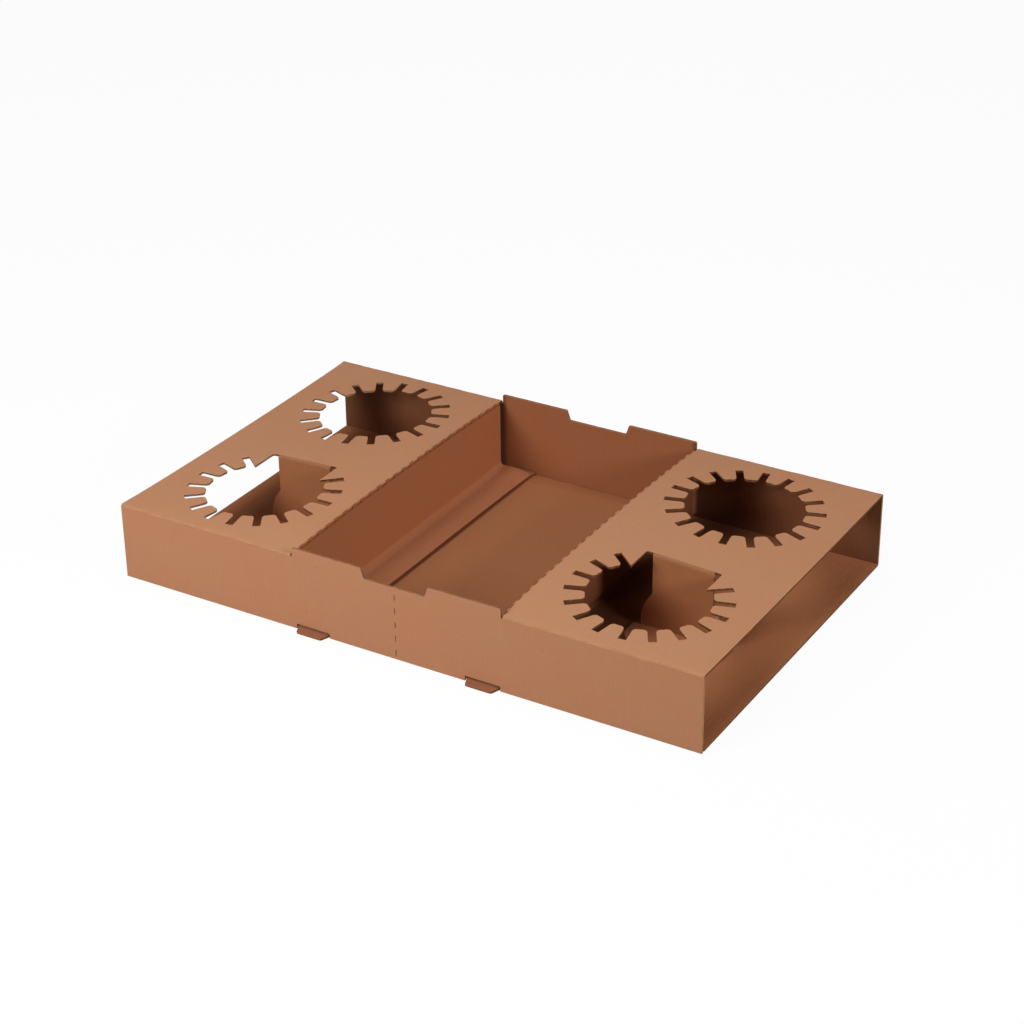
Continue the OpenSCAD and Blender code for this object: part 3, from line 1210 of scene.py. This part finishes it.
@dataclass
class WellFlap:
    """A side wall of the well with its foot, one board bent round a radius.

    Attributes:
        side: Which half.
        palette: The finishes.
        bend_r: Radius of the bend's middle line.
        rows: Divisions along the board's length, for its slight warp.
        steps: Divisions of wall, bend and foot.
        lift: How far the foot's back end arches off the floor.
        arch_y: Where that arch begins.
        tip: How far the foot's edge stands up between its ends.
        low_z: Height at which the foot's warp has faded out, and the rise with
            the top panel begins.
        ease_x: Run over which the foot's unevenness grows.
        bow_z: Height over which the wall bows.
        hold: Power of the curve that holds wall and foot straight at their
            ends.
        lean: Power that moves the arch's crest towards the foot's edge.
        unevenness: Of the foot and of the wall.
        pace: Pace of that unevenness along X and Y.
        mouth: How deep the flutes' voids go in from the wall's ends.
        void_base: Their lowest place, in bend radii above the low axis.
        lip_reach: How far the slits' lips reach over the wall.
        tab_spread: Width of a back lock tab, as a share of the CAD's, so that
            it fills the slot that it is wedged into.
        tab_wedge: Rise of a back lock tab's upper face inside the wall.
        eased: Share of its height that a lock tab, bent down into its slot,
        keeps once it is out of the slot and the flap lies level; not used.
    """

    side: Side
    palette: Palette
    bend_r: float = 0.0052
    rows: int = 40
    steps: tuple[int, int, int] = (8, 10, 5)
    lift: float = 0.0026
    arch_y: float = 0.070
    tip: float = 0.0011
    low_z: float = 0.020
    ease_x: float = 0.012
    bow_z: float = 0.047
    hold: int = 8
    lean: float = 0.8
    unevenness: tuple[float, float] = (0.00012, 0.00025)
    pace: tuple[float, float] = (30.0, 22.0)
    mouth: float = 0.004
    void_base: float = 2.2
    lip_reach: float = 0.0009
    tab_spread: float = 1.07
    tab_wedge: float = 0.0014
    eased: float = 0.68

    def board(self) -> bpy.types.Object:
        """Make the wall, bend and foot as one board.

        Returns:
            The board.
        """
        s, t, p = self.side.value, TRAY, self.palette
        outer, inner = t.wall_x + t.half_t, t.wall_x - t.half_t
        corners = ((outer, -1), (inner, -1), (inner, 1), (outer, 1))
        bm, _ = Bench.section([Vector((x, sign * t.flap_end_y, t.panel_under_z)) for x, sign in corners])
        long = [e for e in bm.edges if abs(e.verts[0].co.y - e.verts[1].co.y) > t.board]
        bmesh.ops.subdivide_edges(bm, edges=long, cuts=self.rows - 1, use_grid_fill=True)
        faces = list(bm.faces)
        drop = t.panel_under_z - (t.low_axis_z + self.bend_r)
        run = t.wall_x - self.bend_r - t.foot_edge_x
        down, round_, along = self.steps
        for _ in range(down):
            faces = Bench.push(bm, faces, Vector((0, 0, -drop / down)))
        centre = Vector((t.wall_x - self.bend_r, 0, t.low_axis_z + self.bend_r))
        faces = Bench.swing(bm, faces, centre, Axis.Y, steps=round_)
        for _ in range(along):
            faces = Bench.push(bm, faces, Vector((-run / along, 0, 0)))
        self.warp(bm)
        bmesh.ops.recalc_face_normals(bm, faces=bm.faces)
        for f in bm.faces:
            f.material_index = self.part(f)
        for v in bm.verts:
            v.co.x *= s
        bmesh.ops.recalc_face_normals(bm, faces=bm.faces)
        # The third finish paints shade on the wall's outside and top end
        obj = Bench.piece(f"well_flap_{self.side.word}", bm, p.well, p.edge, p.dim, p.foot)
        near, far = sorted((s * inner, s * outer))
        for sign in (-1, 1):
            ends = sorted((sign * (t.flap_end_y - self.mouth), sign * (t.flap_end_y + t.over)))
            low = Vector((near, ends[0], t.low_axis_z + self.void_base * self.bend_r))
            high = Vector((far, ends[1], t.panel_under_z - t.margin))
            Bench.cut(obj, FLUTING.voids(Axis.Y, Axis.Z, low, high), p.void)
        Bench.shade(obj, 35)
        return obj

    @staticmethod
    def part(face: bmesh.types.BMFace) -> int:
        """Tell which part of the board, still on the right, a face is.

        Args:
            face: The face.

        Returns:
            0 for the well's side, 1 for a cut edge, 2 for the outside or the top end,
            which take a dark finish of painted shade, and 3 for the level foot.
        """
        t, at, facing = TRAY, face.calc_center_median(), face.normal
        top_end = at.z > t.panel_under_z - t.near
        if not top_end and (abs(facing.y) > SQUARE or at.x < t.foot_edge_x + t.near):
            return 1
        if (facing.x > FACING and at.x > t.wall_x) or (facing.z > FACING and top_end):
            return 2
        return 3 if facing.z > FACING else 0

    def warp(self, bm: bmesh.types.BMesh) -> None:
        """Let the board lie a little uneven, and arch the foot at its back end.

        Args:
            bm: The board, made on the right.
        """
        t, s = TRAY, self.side.value
        of_foot, of_wall = self.unevenness
        for v in bm.verts:
            x, y, z = v.co
            low = max(0.0, 1 - z / self.low_z)
            high = max(0.0, (z - self.low_z) / (t.panel_under_z - self.low_z)) ** 2
            foot = max(0.0, min(1.0, (t.wall_x - x) / self.ease_x))
            wave = 1 + noise.noise(Vector((x * self.pace[0], y * self.pace[1], 5.0 * s)))
            run = min(1.0, max(0.0, (t.wall_x - x) / (t.wall_x - t.foot_edge_x)))
            back = max(0.0, (y - self.arch_y) / (t.flap_end_y - self.arch_y)) ** 2
            held = 1 - (y / t.flap_end_y) ** self.hold
            bow = math.sin(math.pi * min(1, z / self.bow_z))
            v.co.z += low * back * self.lift * math.sin(math.pi * run ** self.lean)
            v.co.z += low * (of_foot * foot * wave + self.tip * held * run * run)
            v.co.x -= held * (1 - foot) * of_wall * wave * bow
            v.co.z += BULGE.at(s * t.panel_edge_x, y) * high

    def seat(self, bm: bmesh.types.BMesh) -> None:
        """Bring a piece of the crease to its side, and raise it with the panel.

        Args:
            bm: The piece, made on the right.
        """
        for v in bm.verts:
            v.co.x *= self.side.value
            v.co.z += BULGE.at(self.side.value * TRAY.panel_edge_x, v.co.y)
        bmesh.ops.recalc_face_normals(bm, faces=bm.faces)

    def bridges(self) -> bpy.types.Object:
        """Make the bent bridges of the cut crease under the top panel's edge, in painted shade.

        Returns:
            The bridges as one piece.
        """
        t = TRAY
        bm = bmesh.new()
        inner, outer, z = t.wall_x - t.half_t, t.panel_edge_x, t.panel_under_z
        axis_at = Vector((outer + t.axis_gap, 0, z - t.axis_gap))
        first = -(t.bridges - 1) / 2 * t.cut_pitch
        for index in range(t.bridges):
            y0 = first + index * t.cut_pitch - t.bridge_len / 2
            y1 = y0 + t.bridge_len
            ends = ((outer, y0, z), (inner, y0, z), (inner, y1, z), (outer, y1, z))
            face = bm.faces.new([bm.verts.new(c) for c in ends])
            Bench.swing(bm, [face], axis_at, Axis.Y)
        self.seat(bm)
        obj = Bench.piece(f"crease_bridges_{self.side.word}", bm, self.palette.bent)
        Bench.shade(obj, 50)
        return obj

    def lips(self) -> bpy.types.Object:
        """Make the top panel's cut lips between the bridges.

        Returns:
            The lips as one piece.
        """
        t = TRAY
        bm = bmesh.new()
        first = -t.bridges / 2 * t.cut_pitch
        gap = t.cut_pitch - t.bridge_len
        for index in range(t.bridges + 1):
            y0 = first + index * t.cut_pitch - gap / 2
            y1 = y0 + gap
            if index in (0, t.bridges):
                y0, y1 = max(y0, -t.flap_end_y), min(y1, t.flap_end_y)
            middle = (t.panel_edge_x - self.lip_reach / 2, (y0 + y1) / 2, t.top_z - t.half_t)
            size = Matrix.Diagonal((self.lip_reach, y1 - y0, t.board, 1))
            bmesh.ops.create_cube(bm, size=1, matrix=Matrix.Translation(middle) @ size)
        Bench.soften(bm, 0.0001)
        self.seat(bm)
        bm.normal_update()
        # The lips' end faces take the well's finish, with its painted shade
        for f in bm.faces:
            f.material_index = 0 if f.normal.z > SQUARE else 1
        return Bench.piece(f"slit_lips_{self.side.word}", bm, self.palette.top, self.palette.well)

    def build(self) -> None:
        """Make the flap, its crease and its lock tabs."""
        w, s, t = self.side.word, self.side.value, TRAY
        board = self.board()
        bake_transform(board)
        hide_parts(f"well_wall_{w}", f"foot_crease_{w}", f"well_foot_{w}")
        Bench.report(board)
        bridges = self.bridges()
        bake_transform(bridges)
        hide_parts(f"well_crease_{w}")
        Bench.report(bridges)
        lips = self.lips()
        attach(lips, "sleeve")
        Bench.report(lips)
        for row in Row:
            # The tabs' finish carries painted shade at the slots
            panel = Panel(
                f"lock_tab_{row.word}_{w}", f"{w}_well_foot", "kraft_flap", self.palette.tab,
                Axis.Y, Axis.X, None,
            )
            if row is Row.BACK:
                panel.spread, panel.wedge = self.tab_spread, self.tab_wedge
            tab = panel.build(self.palette)
            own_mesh(tab)


@dataclass
class DividerFlap:
    """The flap between the front and the back cup, with its foot.

    Attributes:
        side: Which half.
        palette: The finishes.
        shut: Solid board left in the foot beside its bend.
        bend_up: How far above flap and foot the bend's blend lies; not used.
        bend_run: How far forward it runs; not used.
    """

    side: Side
    palette: Palette
    shut: float = 0.0003
    bend_up: float = 0.0002
    bend_run: float = 0.0007

    def board(self) -> bpy.types.Object:
        """Make flap, bend and foot as one piece.

        Returns:
            The piece.
        """
        w, t, p = self.side.word, TRAY, self.palette
        low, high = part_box(f"divider_foot_crease_{w}")
        axis_at = Vector((0, t.flap_front_y - t.axis_gap, t.foot_top_z + t.axis_gap))
        whole = self.bend(low.x, high.x, t.foot_top_z, axis_at)
        foot = self.panel(f"divider_foot_{w}", Axis.Z)
        low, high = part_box(f"divider_foot_{w}")
        low = Vector((low.x + t.margin, low.y - t.over, low.z))
        high = Vector((high.x - t.margin, high.y - self.shut, high.z))
        Bench.cut(foot, FLUTING.voids(Axis.Y, Axis.X, low, high), p.void)
        for part in (foot, self.panel(f"divider_flap_{w}", Axis.Y)):
            mesh = part.data
            whole.from_mesh(mesh)
            bpy.data.objects.remove(part)
            bpy.data.meshes.remove(mesh)
        for v in whole.verts:
            v.co.z += BULGE.at(v.co.x, t.fold_edge_y) * max(0.0, v.co.z / t.top_z) ** 2
        # The flap's finish is the top liner darkened with painted shade
        obj = Bench.piece(f"divider_board_{w}", whole, p.flap, p.wall_edge, p.void)
        Bench.shade(obj, 35)
        return obj

    def panel(self, node: str, through: Axis) -> bpy.types.Object:
        """Make a flat part of the flap.

        Args:
            node: The CAD node that it copies.
            through: The axis through the board.

        Returns:
            The part, which goes into the whole board later.
        """
        bm = Bench.cad_copy(node)
        bm.normal_update()
        for f in bm.faces:
            f.material_index = 0 if abs(f.normal[through.value]) > FACING else 1
        Bench.soften(bm)
        return Bench.piece(node + "_part", bm, self.palette.flap, self.palette.wall_edge)

    @staticmethod
    def bend(low_x: float, high_x: float, z: float, axis_at: Vector) -> bmesh.types.BMesh:
        """Make a quarter bend of the flap's board.

        Args:
            low_x: Where it begins along X.
            high_x: Where it ends.
            z: Height of the flap's end that it grows from.
            axis_at: A point on the bend's axis.

        Returns:
            The bend's mesh.
        """
        front, back = TRAY.flap_front_y, TRAY.fold_edge_y
        corners = ((low_x, front), (high_x, front), (high_x, back), (low_x, back))
        bm, face = Bench.section([Vector((x, y, z)) for x, y in corners])
        Bench.swing(bm, [face], axis_at, Axis.X, angle=-90)
        bmesh.ops.recalc_face_normals(bm, faces=bm.faces)
        return bm

    def crease(self) -> bpy.types.Object:
        """Make the bend from the top panel down to the flap, darkened with painted shade so that it shows
        no light line.

        Returns:
            The bend.
        """
        t, x = TRAY, self.side.value * TRAY.hole_x
        axis_at = Vector((0, t.fold_edge_y + t.axis_gap, t.panel_under_z - t.axis_gap))
        bm = self.bend(x - t.neck_w / 2, x + t.neck_w / 2, t.panel_under_z, axis_at)
        for v in bm.verts:
            v.co.z += BULGE.at(v.co.x, t.fold_edge_y)
        obj = Bench.piece(f"divider_bend_{self.side.word}", bm, self.palette.fold)
        Bench.shade(obj, 50)
        return obj

    def build(self) -> None:
        """Make the flap and its crease."""
        w, t, x = self.side.word, TRAY, self.side.value * TRAY.hole_x
        board = self.board()
        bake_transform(board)
        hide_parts(f"divider_flap_{w}", f"divider_foot_crease_{w}", f"divider_foot_{w}")
        Bench.report(board)
        crease = self.crease()
        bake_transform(crease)
        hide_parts(f"divider_crease_{w}")
        Bench.report(crease)


# The studio


@dataclass(frozen=True)
class Studio:
    """Camera at the photograph's angle, pale floor and soft light.

    Attributes:
        eye: The camera's place.
        right: The picture's right.
        down: The picture's downward direction.
        lens: Focal length in millimetres on a sensor 36 wide.
        sky: Strength of the world's light.
        lamps: Name, place, side and power in watts of each soft lamp.
        paper: Lightness of the floor that is seen.
        glow: Share of plain white in it.
        table: Lightness of the floor that lights the tray from below.
        floor_z: Height of the floor, clear of the tray's underside.
        floor_half: Half the floor's side.
    """

    eye: Vector = field(default_factory=lambda: Vector((0.6534, -1.0766, 0.7090)))
    right: Vector = field(default_factory=lambda: Vector((0.85956, 0.51095, -0.00907)))
    down: Vector = field(default_factory=lambda: Vector((0.23304, -0.40770, -0.88288)))
    lens: float = 85.686
    sky: float = 0.06
    lamps: tuple[tuple[str, tuple[float, float, float], float, float], ...] = (
        ("overhead", (-0.08, 0.0, 1.60), 1.0, 10.0),
        ("front_left", (-0.34, -0.88, 0.54), 0.40, 6.8),
        ("right", (1.40, -0.38, 0.70), 0.32, 11.0),
    )
    paper: float = 0.95
    glow: float = 0.95
    table: float = 0.42
    floor_z: float = -0.0003
    floor_half: float = 6.0

    def camera(self) -> None:
        """Create the camera and set it in the scene."""
        data = bpy.data.cameras.new("camera")
        data.lens, data.sensor_width = self.lens, 36.0
        data.clip_start, data.clip_end = 0.01, 50.0
        cam = bpy.data.objects.new("camera", data)
        bpy.context.scene.collection.objects.link(cam)
        right = self.right.normalized()
        up = -(self.down - right * self.down.dot(right)).normalized()
        back = right.cross(up)
        turn = Matrix((right, up, back)).transposed().to_4x4()
        cam.matrix_world = Matrix.Translation(self.eye) @ turn
        bpy.context.scene.camera = cam

    def floor(self) -> None:
        """Lay the pale floor, which keeps the tray's shadow."""
        t = NodeTree("pale_floor")
        paper = t.add("BsdfDiffuse", Color=(self.paper, self.paper, self.paper, 1.0))
        table = t.add("BsdfDiffuse", Color=(self.table, self.table, self.table, 1.0))
        glow = t.add("Emission", Color=(1.0, 1.0, 1.0, 1.0), Strength=1.0)
        ray = t.add("LightPath")
        seen = t.maths("MAXIMUM", ray.outputs["Is Camera Ray"], ray.outputs["Is Glossy Ray"])
        seen = t.maths("MAXIMUM", seen, ray.outputs["Is Transmission Ray"])
        blend = t.add("MixShader")
        blend.inputs[0].default_value = self.glow
        t.link(paper.outputs[0], blend.inputs[1])
        t.link(glow.outputs[0], blend.inputs[2])
        pick = t.add("MixShader")
        t.link(seen, pick.inputs[0])
        t.link(table.outputs[0], pick.inputs[1])
        t.link(blend.outputs[0], pick.inputs[2])
        bm = bmesh.new()
        level = Matrix.Translation((0, 0, self.floor_z))
        bmesh.ops.create_grid(bm, x_segments=1, y_segments=1, size=self.floor_half, matrix=level)
        Bench.piece("floor_plane", bm, t.close(pick))

    def light(self) -> None:
        """Set the world and the lamps."""
        world = bpy.data.worlds.new("studio")
        bpy.context.scene.world = world
        world.use_nodes = True
        nodes, links = world.node_tree.nodes, world.node_tree.links
        nodes.clear()
        ray = nodes.new("ShaderNodeLightPath")
        dim = nodes.new("ShaderNodeBackground")
        dim.inputs["Color"].default_value = (1.0, 0.985, 0.97, 1.0)
        dim.inputs["Strength"].default_value = self.sky
        white = nodes.new("ShaderNodeBackground")
        white.inputs["Color"].default_value = (1.0, 1.0, 1.0, 1.0)
        pick = nodes.new("ShaderNodeMixShader")
        out = nodes.new("ShaderNodeOutputWorld")
        links.new(ray.outputs["Is Camera Ray"], pick.inputs[0])
        links.new(dim.outputs[0], pick.inputs[1])
        links.new(white.outputs[0], pick.inputs[2])
        links.new(pick.outputs[0], out.inputs["Surface"])
        for name, place, size, power in self.lamps:
            self.lamp(name, Vector(place), size, power)

    @staticmethod
    def lamp(name: str, place: Vector, size: float, power: float) -> None:
        """Hang a square soft lamp that faces the tray.

        Args:
            name: The lamp's name.
            place: Where it hangs.
            size: Its side.
            power: Its power in watts.
        """
        data = bpy.data.lights.new(name, "AREA")
        data.shape, data.size, data.energy = "SQUARE", size, power
        obj = bpy.data.objects.new(name, data)
        bpy.context.scene.collection.objects.link(obj)
        obj.location = place
        obj.rotation_mode = "QUATERNION"
        obj.rotation_quaternion = (-place).to_track_quat("-Z", "Y")

    def build(self) -> None:
        """Set up the whole studio."""
        bpy.context.scene.view_settings.view_transform = "Standard"
        self.camera()
        self.floor()
        self.light()


def main() -> None:
    """Build every sub-assembly in order, then the studio."""
    logging.basicConfig(level=logging.INFO, format="%(message)s")
    palette = Palette()
    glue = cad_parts["glue_seam"].data.materials
    glue.clear()
    glue.append(palette.glue)
    for side in Side:
        Sleeve(side, palette).build()
        WellFlap(side, palette).build()
        DividerFlap(side, palette).build()
    Studio().build()


if __name__ == "__main__":
    main()
